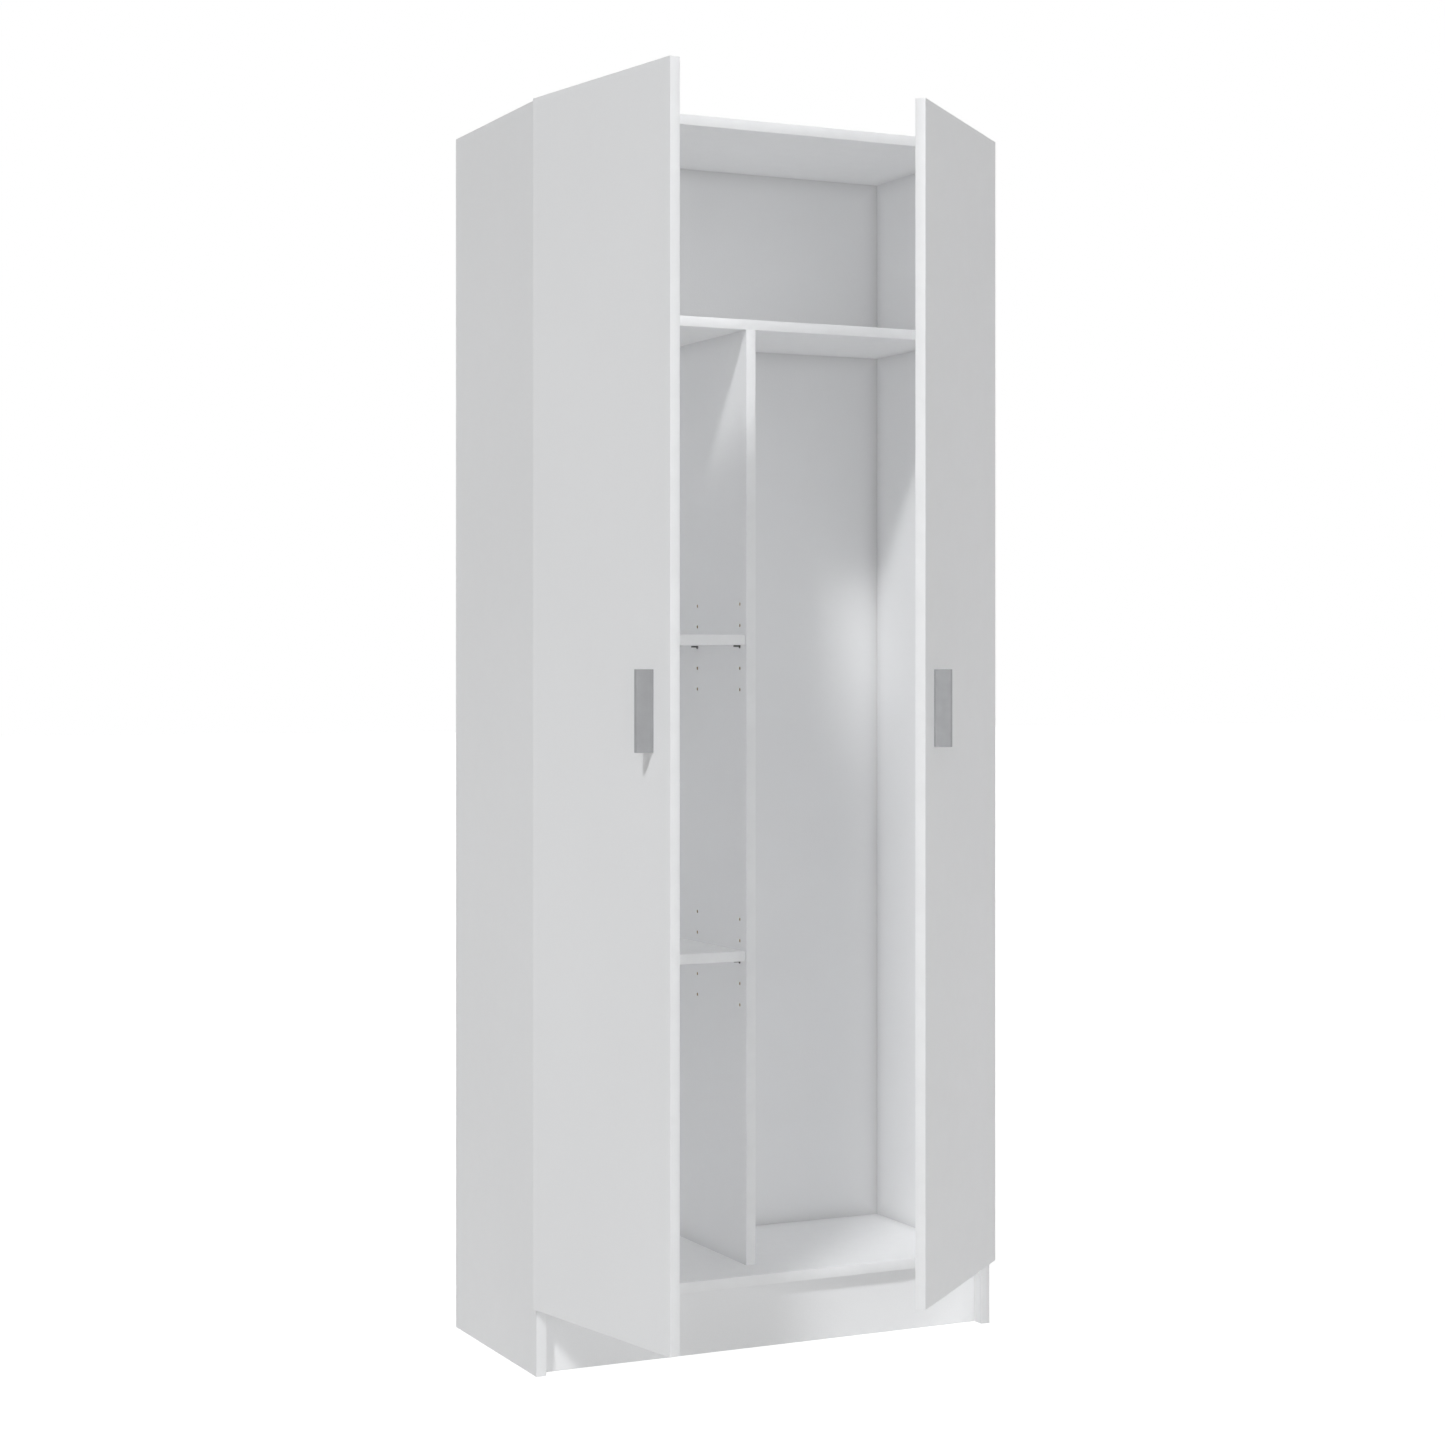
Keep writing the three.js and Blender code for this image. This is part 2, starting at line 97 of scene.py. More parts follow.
class Recipe:
    """A node material under construction: helper calls add and link its nodes."""

    def __init__(self, name, roughness, metallic=0.0, specular=0.5):
        self.material = bpy.data.materials.new(name)
        self.material.use_nodes = True
        self.tree = self.material.node_tree
        self.shader = self.tree.nodes["Principled BSDF"]
        self.shader.inputs["Roughness"].default_value = roughness
        self.shader.inputs["Metallic"].default_value = metallic
        self.shader.inputs["Specular IOR Level"].default_value = specular
        self.place = self.add("ShaderNodeTexCoord").outputs["Object"]

    def add(self, kind, **settings):
        node = self.tree.nodes.new(kind)
        for key, value in settings.items():
            setattr(node, key, value)
        return node

    def feed(self, socket, value):
        if hasattr(value, "is_linked"):
            self.tree.links.new(value, socket)
        else:
            socket.default_value = value

    def stretched(self, scale):
        node = self.add("ShaderNodeMapping")
        self.feed(node.inputs["Vector"], self.place)
        node.inputs["Scale"].default_value = scale
        return node.outputs["Vector"]

    def noise(self, scale, detail=2.0, roughness=0.5, vector=None):
        node = self.add("ShaderNodeTexNoise")
        self.feed(node.inputs["Vector"], vector or self.place)
        node.inputs["Scale"].default_value = scale
        node.inputs["Detail"].default_value = detail
        node.inputs["Roughness"].default_value = roughness
        return node.outputs["Fac"]

    def cells(self, scale, feature="F1"):
        node = self.add("ShaderNodeTexVoronoi", feature=feature)
        self.feed(node.inputs["Vector"], self.place)
        node.inputs["Scale"].default_value = scale
        return node.outputs["Distance"]

    def ramp(self, value, stops):
        """stops: (position, colour or grey) pairs, lowest first."""
        node = self.add("ShaderNodeValToRGB")
        self.feed(node.inputs["Fac"], value)
        elements = node.color_ramp.elements
        while len(elements) < len(stops):
            elements.new(0.5)
        for element, (position, colour) in zip(elements, stops):
            grey = isinstance(colour, (int, float))
            element.position = position
            element.color = (colour, colour, colour, 1) if grey else (*colour, 1)
        return node.outputs["Color"]

    def spread(self, value, low, high):
        """Maps a noise value, which mostly lies from 0.3 to 0.7, to a range."""
        node = self.add("ShaderNodeMapRange")
        self.feed(node.inputs["Value"], value)
        for name, number in zip(("From Min", "From Max", "To Min", "To Max"), (0.3, 0.7, low, high)):
            node.inputs[name].default_value = number
        return node.outputs["Result"]

    def mix(self, share, first, second, blend="MIX"):
        node = self.add("ShaderNodeMix", data_type="RGBA", blend_type=blend)
        self.feed(node.inputs["Factor"], share)
        self.feed(node.inputs["A"], first if hasattr(first, "is_linked") else (*first, 1))
        self.feed(node.inputs["B"], second if hasattr(second, "is_linked") else (*second, 1))
        return node.outputs["Result"]

    def math(self, operation, first, second):
        node = self.add("ShaderNodeMath", operation=operation)
        self.feed(node.inputs[0], first)
        self.feed(node.inputs[1], second)
        return node.outputs["Value"]

    def bump(self, height, strength, distance, below=None):
        node = self.add("ShaderNodeBump")
        node.inputs["Strength"].default_value = strength
        node.inputs["Distance"].default_value = distance
        self.feed(node.inputs["Height"], height)
        if below is not None:
            self.feed(node.inputs["Normal"], below)
        return node.outputs["Normal"]

    def finish(self, colour=None, roughness=None, normal=None):
        for name, value in (("Base Color", colour), ("Roughness", roughness), ("Normal", normal)):
            if value is not None:
                self.feed(self.shader.inputs[name], value)
        return self.material


# The soft shade painted along the inner corners: its reach, how fast it fades, and its strength
CORNER_WIDTH = 45 * MM
CORNER_FALLOFF = 3.2
CORNER_SHADE = 0.2
CORNER_GREY = (0.12, 0.12, 0.125)

# Base colours, linear: each surface clouds softly between a brighter and a duller tone
BAND_BRIGHT = (0.824, 0.827, 0.831)
BAND_DULL = (0.801, 0.804, 0.808)
LACQUER = (0.794, 0.797, 0.801)
LACQUER_DULL = (0.775, 0.778, 0.782)
WHITE = (0.809, 0.812, 0.816)
WHITE_DULL = (0.793, 0.796, 0.800)


def rear_face(recipe, behind):
    """1 on faces that look backwards and lie at or behind the given Y, else 0."""
    split = recipe.add("ShaderNodeSeparateXYZ")
    recipe.feed(split.inputs["Vector"], recipe.add("ShaderNodeTexCoord").outputs["Normal"])
    looks_back = recipe.math("GREATER_THAN", split.outputs["Y"], 0.5)
    where = recipe.add("ShaderNodeSeparateXYZ")
    recipe.feed(where.inputs["Vector"], recipe.place)
    at_back = recipe.math("GREATER_THAN", where.outputs["Y"], behind)
    return recipe.math("MULTIPLY", looks_back, at_back)


def carcass_room():
    """The lowest and highest corner of the space that the sides, top, bottom and back enclose."""
    left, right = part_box("side_panel_left")[1].x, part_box("side_panel_right")[0].x
    back, top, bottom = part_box("back_panel")[0].y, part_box("top_panel")[0].z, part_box("bottom_panel")[1].z
    return Vector((left, CAD_BOUNDS[0].y, bottom)), Vector((right, back, top))


def inner_corners():
    """The planes where boards meet inside the carcass, as (axis, place) pairs."""
    low, high = carcass_room()
    shelf_planes = [(2, corner.z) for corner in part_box("upper_shelf")]
    return [(0, low.x), (0, high.x), (1, high.y), (2, low.z), (2, high.z)] + shelf_planes


def shaded_corners(recipe, tone):
    """The tone with a soft painted shade along the inner corners of the carcass."""
    place = recipe.add("ShaderNodeSeparateXYZ")
    recipe.feed(place.inputs["Vector"], recipe.place)
    facing = recipe.add("ShaderNodeSeparateXYZ")
    recipe.feed(facing.inputs["Vector"], recipe.add("ShaderNodeTexCoord").outputs["Normal"])
    darkest = 0.0
    for axis, plane in inner_corners():
        away = recipe.math("ABSOLUTE", recipe.math("SUBTRACT", place.outputs[axis], plane), 0)
        reach = recipe.math("MINIMUM", recipe.math("DIVIDE", away, CORNER_WIDTH), 1.0)
        near = recipe.math("SUBTRACT", 1.0, reach)
        across = recipe.math("SUBTRACT", 1.0, recipe.math("ABSOLUTE", facing.outputs[axis], 0))
        soft = recipe.math("MULTIPLY", recipe.math("POWER", near, CORNER_FALLOFF), across)
        darkest = recipe.math("MAXIMUM", darkest, soft)
    inside = 1.0
    for axis, (low, high) in enumerate(zip(*carcass_room())):
        past_low = recipe.math("GREATER_THAN", place.outputs[axis], low - 0.5 * MM)
        short_of_high = recipe.math("LESS_THAN", place.outputs[axis], high + 0.5 * MM)
        inside = recipe.math("MULTIPLY", inside, recipe.math("MULTIPLY", past_low, short_of_high))
    share = recipe.math("MULTIPLY", recipe.math("MULTIPLY", darkest, inside), CORNER_SHADE)
    return recipe.mix(share, tone, CORNER_GREY)


def chipboard_colour(recipe):
    chips = recipe.cells(260)
    fibres = recipe.noise(700, detail=4)
    dark, middle, pale = (0.20, 0.125, 0.07), (0.42, 0.30, 0.185), (0.56, 0.43, 0.29)
    tan = recipe.ramp(chips, [(0.1, dark), (0.45, middle), (0.8, pale)])
    strands = recipe.ramp(fibres, [(0.35, (0.24, 0.16, 0.09)), (0.65, (0.58, 0.45, 0.31))])
    return recipe.mix(0.35, tan, strands)


def melamine(raw_behind=None):
    """Satin white melamine with a fine pearl. With raw_behind, a Y, it is a carcass board's: painted shade in
    the inner corners, and bare chipboard on rear faces at or behind that Y."""
    recipe = Recipe("white_melamine", roughness=0.42, specular=0.45)
    cloud = recipe.noise(2.2, detail=3)
    speckle = recipe.noise(900, detail=1)
    tone = recipe.ramp(cloud, [(0.35, WHITE_DULL), (0.65, WHITE)])
    tone = recipe.mix(0.05, tone, recipe.ramp(speckle, [(0.35, 0.6), (0.65, 1.0)]), "MULTIPLY")
    if raw_behind is not None:
        # painted shade: the white darkens towards grey along the inner corners of the carcass
        tone = shaded_corners(recipe, tone)
        tone = recipe.mix(rear_face(recipe, raw_behind), tone, chipboard_colour(recipe))
    sheen = recipe.spread(recipe.noise(38, detail=4), 0.37, 0.47)
    pearl = recipe.bump(recipe.noise(650, detail=2), 0.16, 0.25 * MM)
    waves = recipe.bump(recipe.noise(14, detail=2), 0.05, 1.2 * MM, below=pearl)
    return recipe.finish(tone, sheen, waves)


def edge_band():
    """The plastic band on a board's edge: a little smoother and glossier than the faces."""
    recipe = Recipe("white_edge_band", roughness=0.34, specular=0.5)
    along = recipe.noise(30, detail=3)
    tone = recipe.ramp(along, [(0.35, BAND_DULL), (0.65, BAND_BRIGHT)])
    sheen = recipe.spread(recipe.noise(120, detail=2), 0.29, 0.39)
    return recipe.finish(tone, sheen, recipe.bump(recipe.noise(420, detail=2), 0.1, 0.2 * MM))


def bare_board():
    """The chipboard that a drilled hole lays bare."""
    recipe = Recipe("bare_chipboard", roughness=0.85, specular=0.2)
    chips = recipe.bump(recipe.noise(900, detail=4), 0.4, 0.3 * MM)
    return recipe.finish(chipboard_colour(recipe), normal=chips)


def hardboard():
    """Thin hardboard: white lacquer inside, with painted shade along the inner corners, and bare pressed
    fibre with its wire-mesh print behind.
    """
    recipe = Recipe("hardboard", roughness=0.55, specular=0.35)
    cloud = recipe.noise(3, detail=3)
    lacquer = recipe.ramp(cloud, [(0.35, LACQUER_DULL), (0.65, LACQUER)])
    fibre = recipe.noise(160, detail=6, roughness=0.65)
    dark, middle, pale = (0.20, 0.115, 0.062), (0.29, 0.18, 0.10), (0.37, 0.24, 0.145)
    brown = recipe.ramp(fibre, [(0.3, dark), (0.5, middle), (0.7, pale)])
    blotches = recipe.ramp(recipe.noise(5, detail=4), [(0.3, 0.86), (0.7, 1.0)])
    brown = recipe.mix(1.0, brown, blotches, "MULTIPLY")
    bare = rear_face(recipe, CAD_BOUNDS[1].y - 0.5 * MM)
    # painted shade: the lacquer darkens towards grey along the inner corners of the carcass
    tone = recipe.mix(bare, shaded_corners(recipe, lacquer), brown)
    dullness = recipe.math("ADD", recipe.math("MULTIPLY", bare, 0.28), recipe.spread(fibre, 0.48, 0.58))
    mesh = recipe.bump(recipe.cells(420), 0.25, 0.3 * MM)
    return recipe.finish(tone, dullness, recipe.bump(fibre, 0.12, 0.2 * MM, below=mesh))


def grey_plastic():
    """Satin grey moulding with faint upright drag lines."""
    recipe = Recipe("handle_grey", roughness=0.42, specular=0.45)
    lines = recipe.noise(1, detail=3, vector=recipe.stretched((1900, 1900, 12)))
    cloud = recipe.noise(60, detail=3)
    tone = recipe.ramp(cloud, [(0.35, (0.336, 0.339, 0.346)), (0.65, (0.356, 0.359, 0.367))])
    tone = recipe.mix(0.10, tone, recipe.ramp(lines, [(0.35, 0.75), (0.65, 1.0)]), "MULTIPLY")
    grain = recipe.bump(recipe.noise(1600, detail=1), 0.18, 0.12 * MM)
    drag = recipe.bump(lines, 0.06, 0.1 * MM, below=grain)
    return recipe.finish(tone, recipe.spread(lines, 0.36, 0.48), drag)


def plated_steel(name, light, dark, roughness):
    """Plated pressed steel with soft clouding and fine scratches."""
    recipe = Recipe(name, roughness=roughness, metallic=1.0)
    cloud = recipe.noise(90, detail=4)
    tone = recipe.ramp(cloud, [(0.3, dark), (0.7, light)])
    scratches = recipe.noise(1, detail=2, vector=recipe.stretched((2600, 400, 900)))
    rough = recipe.spread(scratches, roughness - 0.07, roughness + 0.09)
    return recipe.finish(tone, rough, recipe.bump(scratches, 0.08, 0.05 * MM))


REAR_PLANE = CAD_BOUNDS[1].y - 4 * MM  # the rear faces of the carcass boards lie just behind this
MATERIALS = {
    "board": melamine(raw_behind=REAR_PLANE),
    "door_board": melamine(),
    "bare_board": bare_board(),
    "band": edge_band(),
    "hardboard": hardboard(),
    "handle": grey_plastic(),
    "nickel": plated_steel("nickel_steel", (0.72, 0.71, 0.68), (0.66, 0.65, 0.62), 0.27),
    "zinc": plated_steel("zinc_steel", (0.52, 0.52, 0.51), (0.45, 0.45, 0.44), 0.36),
    "pin": plated_steel("pin_steel", (0.12, 0.117, 0.113), (0.09, 0.088, 0.085), 0.42),
}


# --- Shapes ---

def mesh_from(bm, name):
    bmesh.ops.remove_doubles(bm, verts=bm.verts, dist=1e-7)
    bmesh.ops.recalc_face_normals(bm, faces=bm.faces)
    mesh = bpy.data.meshes.new(name)
    bm.to_mesh(mesh)
    bm.free()
    return mesh


def piece(name, mesh, finish, body, place=STILL, crease=32):
    """Adds a mesh, drawn in the frame that `place` describes, as a piece that rides on a body."""
    mesh.transform(place)
    for polygon in mesh.polygons:
        polygon.use_smooth = True
    mesh.set_sharp_from_angle(angle=math.radians(crease))
    mesh.materials.clear()
    mesh.materials.append(MATERIALS[finish])
    made = bpy.data.objects.new(name, mesh)
    bpy.context.scene.collection.objects.link(made)
    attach(made, body)
    return made


def block(bm, low, high, bevel=0.0, segments=2):
    low, high = Vector(low), Vector(high)
    corners = bmesh.ops.create_cube(bm, size=1)["verts"]
    for corner in corners:
        corner.co = (low + high) / 2 + corner.co * (high - low)
    if bevel:
        edges = list({edge for corner in corners for edge in corner.link_edges})
        bmesh.ops.bevel(bm, geom=edges, offset=bevel, segments=segments, profile=0.5, affect="EDGES")


def turned(bm, profile, place=STILL, steps=32):
    """A closed profile of (radius, height) points, turned about local Z; radius 0 closes a pole."""
    rings = []
    for radius, height in profile:
        if radius < 1e-9:
            rings.append([bm.verts.new(place @ Vector((0, 0, height)))])
            continue
        angles = [2 * math.pi * step / steps for step in range(steps)]
        points = [Vector((radius * math.cos(a), radius * math.sin(a), height)) for a in angles]
        rings.append([bm.verts.new(place @ point) for point in points])
    closed = len(rings[0]) > 1 and len(rings[-1]) > 1
    pairs = list(zip(rings, rings[1:])) + ([(rings[-1], rings[0])] if closed else [])
    for first, second in pairs:
        for step in range(steps):
            after = (step + 1) % steps
            ring = [first[step % len(first)], first[after % len(first)]]
            ring += [second[after % len(second)], second[step % len(second)]]
            bm.faces.new(list(dict.fromkeys(ring)))


def prism(bm, outline, low, high, bevel=0.0, segments=2):
    """An outline of (x, y) points extruded along Z, with its end rims bevelled."""
    base = bm.faces.new([bm.verts.new((x, y, low)) for x, y in outline])
    risen = bmesh.ops.extrude_face_region(bm, geom=[base])["geom"]
    tops = [item for item in risen if isinstance(item, bmesh.types.BMVert)]
    bmesh.ops.translate(bm, verts=tops, vec=(0, 0, high - low))
    if bevel:
        rims = [edge for vert in tops for edge in vert.link_edges if edge.other_vert(vert) in tops]
        rims += list(base.edges)
        bmesh.ops.bevel(bm, geom=list(set(rims)), offset=bevel, segments=segments, affect="EDGES")


def arc(centre, radius, start, stop, steps):
    """Points on an arc, from one angle to another in degrees."""
    angles = [math.radians(start + (stop - start) * step / steps) for step in range(steps + 1)]
    return [(centre[0] + radius * math.cos(a), centre[1] + radius * math.sin(a)) for a in angles]


def combined(mesh, other, operation):
    """The mesh after a boolean with the other: operation is UNION or DIFFERENCE."""
    body = bpy.data.objects.new("boolean_body", mesh)
    tool = bpy.data.objects.new("boolean_tool", other)
    for thing in (body, tool):
        bpy.context.scene.collection.objects.link(thing)
    boolean = body.modifiers.new("boolean", "BOOLEAN")
    boolean.operation = operation
    boolean.solver = "EXACT"
    boolean.object = tool
    graph = bpy.context.evaluated_depsgraph_get()
    result = bpy.data.meshes.new_from_object(body.evaluated_get(graph))
    for thing in (body, tool):
        bpy.data.objects.remove(thing)
    return result


def repeated(mesh, places, name):
    """One mesh that holds a copy of the mesh at each place."""
    bm = bmesh.new()
    for place in places:
        copy = mesh.copy()
        copy.transform(place)
        bm.from_mesh(copy)
        bpy.data.meshes.remove(copy)
    joined = bpy.data.meshes.new(name)
    bm.to_mesh(joined)
    bm.free()
    return joined


def aimed(point, direction, spin=0.0):
    """A place at a point, with local +Z along a direction and turned about it by spin degrees."""
    turn = Vector(direction).to_track_quat("Z", "Y").to_matrix().to_4x4()
    return Matrix.Translation(point) @ turn @ Matrix.Rotation(math.radians(spin), 4, "Z")


# --- Fasteners ---

def cross_slot(size, width, depth, top):
    bm = bmesh.new()
    block(bm, (-size, -width, top - depth), (size, width, top + MM))
    block(bm, (-width, -size, top - depth), (width, size, top + MM))
    return mesh_from(bm, "cross_slot")


def screw_head(radius, height, rise=0.5):
    """A cross-slotted head that stands on Z = 0, its dome starting at a share `rise` of its height."""
    bm = bmesh.new()
    crown = height * rise
    steps = 5
    dome = []
    for step in range(steps + 1):
        angle = math.pi / 2 * step / steps
        dome.append((radius * math.cos(angle), crown + (height - crown) * math.sin(angle)))
    dome[-1] = (0, height)
    turned(bm, [(0, 0), (radius, 0)] + dome, steps=24)
    head = mesh_from(bm, "screw_head")
    return combined(head, cross_slot(radius * 0.62, radius * 0.13, height * 0.6, height), "DIFFERENCE")


def nail_head(radius, height):
    bm = bmesh.new()
    turned(bm, [(0, 0), (radius, 0), (radius, height * 0.5), (radius * 0.8, height), (0, height)], steps=16)
    return mesh_from(bm, "nail_head")


def cam_disc(radius, height):
    """The face of a cam fitting, with its cross slot and a raised rim."""
    bm = bmesh.new()
    rim = radius * 0.86
    sunk = height * 0.5
    profile = [(0, 0), (radius, 0), (radius, height), (rim, height), (rim * 0.96, sunk), (0, sunk)]
    turned(bm, profile, steps=32)
    slot = cross_slot(radius * 0.5, radius * 0.1, height * 0.4, sunk)
    return combined(mesh_from(bm, "cam_disc"), slot, "DIFFERENCE")


# --- Doors' own frames ---

def door_place(name):
    """Where a door stands: its axis at the origin and the closed door along X, turned to its rest angle."""
    joint = JOINTS[f"{name}_door_swing"]
    opened = math.radians(-joint["range_deg"][0]) * SIDES[name]
    x, y, _ = joint["pos_m"]
    return Matrix.Translation((x, y, 0)) @ Matrix.Rotation(opened, 4, "Z")


def corners(node, place=STILL):
    """Lowest and highest corner of a CAD node in the frame that `place` describes."""
    inverse = place.inverted()
    points = [inverse @ vertex.co for vertex in NODES[node].data.vertices]
    low = Vector(min(point[axis] for point in points) for axis in range(3))
    high = Vector(max(point[axis] for point in points) for axis in range(3))
    return low, high


# --- CAD nodes ---

BOARDS = {
    "cabinet": ["side_panel_left", "side_panel_right", "top_panel", "bottom_panel", "plinth",
                "upper_shelf", "divider", "middle_shelf", "lower_shelf"],
    "left_door": ["door_left"],
    "right_door": ["door_right"],
}


def dress(node, finish, bevel, crease=30, segments=2):
    """Gives a CAD node its material and eases its edges."""
    thing = NODES[node]
    thing.data.materials.clear()
    thing.data.materials.append(MATERIALS[finish])
    # flat faces are merged before the bevel, so that thin triangles between holes leave no crease
    weld = thing.modifiers.new("weld", "WELD")
    weld.merge_threshold = 0.01 * MM
    merge = thing.modifiers.new("merge_flat", "DECIMATE")
    merge.decimate_type = "DISSOLVE"
    merge.angle_limit = math.radians(1)
    ease = thing.modifiers.new("ease", "BEVEL")
    ease.width = bevel
    ease.segments = segments
    ease.limit_method = "ANGLE"
    ease.angle_limit = math.radians(crease)
    ease.use_clamp_overlap = True
    for polygon in thing.data.polygons:
        polygon.use_smooth = True
    flat = thing.modifiers.new("flat_faces", "WEIGHTED_NORMAL")
    flat.mode = "FACE_AREA"
    flat.weight = 100


def dress_cad_nodes():
    for body, members in BOARDS.items():
        for node in members:
            dress(node, "board" if body == "cabinet" else "door_board", 0.5 * MM)
    dress("back_panel", "hardboard", 0.3 * MM)
    for node in NODES:
        if node.startswith("hinge_pin"):
            dress(node, "zinc", 0.2 * MM, crease=50)
        elif node.startswith(("hinge_plate", "hinge_arm", "hinge_link")):
            dress(node, "nickel", 0.45 * MM)


# --- Edge bands ---

BAND = {"inside": 0.4 * MM, "proud": 0.08 * MM, "round": 0.18 * MM}


def band_slab(bm, low, high, axis, end):
    """A thin slab on one edge face of a board: end is -1 or 1 along the axis."""
    slab_low, slab_high = low.copy(), high.copy()
    if end < 0:
        slab_low[axis] = low[axis] - BAND["proud"]
        slab_high[axis] = low[axis] + BAND["inside"]
    else:
        slab_low[axis] = high[axis] - BAND["inside"]
        slab_high[axis] = high[axis] + BAND["proud"]
    block(bm, slab_low, slab_high, BAND["round"])


def add_edge_bands():
    """Bands on the front edge of each carcass board but the plinth, and all round the doors."""
    for node in BOARDS["cabinet"]:
        if node != "plinth":
            bm = bmesh.new()
            band_slab(bm, *corners(node), 1, -1)
            piece(f"{node}_edge_band", mesh_from(bm, "band"), "band", "cabinet")
    for name in SIDES:
        bm = bmesh.new()
        place = door_place(name)
        for axis, end in ((0, -1), (0, 1), (2, -1), (2, 1)):
            band_slab(bm, *corners(f"door_{name}", place), axis, end)
        piece(f"door_{name}_edge_band", mesh_from(bm, "band"), "band", f"{name}_door", place)


# --- Shelf pins and their holes ---

PIN = {"drop": 3 * MM, "radius": 2.2 * MM, "in_hole": 8 * MM, "out_of_hole": 0.8 * MM, "taper": 0.7 * MM}
TAB = {"gap": 0.3 * MM, "length": 9.5 * MM, "half_width": 3.5 * MM, "thick": 2.6 * MM,
       "corner": 2.4 * MM, "round": 0.35 * MM}
HOLE = {"radius": 2.58 * MM, "wall": 0.12 * MM, "inset": 0.25 * MM, "depth": 8.9 * MM}
HOLE_PITCH = 32 * MM
SPARE_HOLES = (-2, -1, 1, 2)


def pin_holes():
    """Each shelf pin's node, the middle of its hole on the panel's face, and the way out along X."""
    for node in sorted(NODES):
        if node.startswith("shelf_pin"):
            low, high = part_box(node)
            out = 1 if "_side_" in node else -1
            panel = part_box("side_panel_left")[1] if out > 0 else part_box("divider")[0]
            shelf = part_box("middle_shelf" if "middle" in node else "lower_shelf")[0]
            yield node, Vector((panel[0], (low[1] + high[1]) / 2, shelf[2] - PIN["drop"])), out


def add_shelf_pin(node, hole, out):
    """A peg in the hole and a flat tab with a rounded end under the shelf."""
    start = hole.x + out * TAB["gap"]
    radius, sunk, proud = PIN["radius"], PIN["in_hole"], PIN["out_of_hole"]
    bm = bmesh.new()
    peg = [(0, -sunk), (radius * 0.7, -sunk), (radius, PIN["taper"] - sunk), (radius, proud), (0, proud)]
    turned(bm, peg, aimed(hole, (out, 0, 0)), steps=24)
    corner = TAB["corner"]
    reach, half = TAB["length"] - corner, TAB["half_width"]
    outline = [(0, -half)] + arc((reach, corner - half), corner, -90, 0, 7)
    outline += arc((reach, half - corner), corner, 0, 90, 7) + [(0, half)]
    outline = [(start + out * x, hole.y + y) for x, y in outline]
    tab = bmesh.new()
    prism(tab, outline, hole.z, hole.z + TAB["thick"], TAB["round"])
    bm.from_mesh(mesh_from(tab, "tab"))
    pin = piece(f"{node}_flat", mesh_from(bm, "pin"), "pin", "cabinet")
    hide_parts(node)


def add_hole_linings():
    """Bare chipboard inside the spare shelf-pin holes, two above and two below each pin."""
    radius, wall, depth = HOLE["radius"], HOLE["wall"], HOLE["depth"]
    bm = bmesh.new()
    inside = radius - wall
    turned(bm, [(0, -depth), (radius, -depth), (radius, -HOLE["inset"]), (inside, -HOLE["inset"]),
                (inside, wall - depth), (0, wall - depth)], steps=20)
    lining = mesh_from(bm, "lining")
    places = []
    for _, hole, out in pin_holes():
        for step in SPARE_HOLES:
            places.append(aimed(hole + Vector((0, 0, step * HOLE_PITCH)), (out, 0, 0)))
    piece("shelf_hole_linings", repeated(lining, places, "linings"), "bare_board", "cabinet")


# --- Handles ---

# The handle's section, in millimetres, as (distance towards the hinge side, distance off the door)
GRIP_DEPTH = 24.3
GRIP_WALL = 2.0
LIP_REACH = 6.8
LIP_THICKNESS = 2.4
LIP_TIP = 0.9
LIP_SLOPE = (1.3, 2.0)  # where the lip's underside starts to thin, and where it has, short of its reach
BASE_WIDTH = 10.5
BASE_THICKNESS = 2.2
BASE_TIP = 0.8
FOOT = {"reach": 2.5, "rise": 0.6, "top": 3.5}
BEND = {"outer": 2.6, "inner": 1.0, "edge": 0.5}
END_ROUND = 0.3 * MM
BOSS = {"radius": 3.6 * MM, "height": 5.2 * MM, "bore": 2.2 * MM, "rim": 0.4 * MM, "into_door": 0.5 * MM}
BOSS_FROM_GRIP = 6.8 * MM
GRIP_FROM_EDGE = 2.5 * MM
SCREW_SPACING = 96 * MM
HANDLE_SCREW = {"head": 2.4 * MM, "shank": 1.9 * MM}


def handle_section():
    """A base strip with a small foot, a grip wall and a lip that turns back over the base."""
    outer, inner, edge = BEND["outer"], BEND["inner"], BEND["edge"]
    foot = FOOT["reach"]
    lip_under = GRIP_DEPTH - LIP_THICKNESS
    wall_top = GRIP_DEPTH - GRIP_WALL
    points = [(-foot, 0), (-foot, FOOT["rise"])]
    points += arc((-foot, FOOT["top"]), foot, -80, 0, 7)
    points += arc((outer, GRIP_DEPTH - outer), outer, 180, 90, 9)
    points += arc((LIP_REACH - LIP_TIP, GRIP_DEPTH - LIP_TIP), LIP_TIP, 90, 0, 5)
    points += arc((LIP_REACH - edge, lip_under + edge), edge, 0, -90, 4)
    points += [(LIP_REACH - LIP_SLOPE[0], lip_under), (LIP_REACH - LIP_SLOPE[1], wall_top)]
    points += arc((GRIP_WALL + inner, wall_top - inner), inner, 90, 180, 5)
    points += arc((GRIP_WALL + inner, BASE_THICKNESS + inner), inner, 180, 270, 5)
    points += arc((BASE_WIDTH - BASE_TIP, BASE_THICKNESS - BASE_TIP), BASE_TIP, 90, 0, 4)
    points += [(BASE_WIDTH, 0)]
    return points


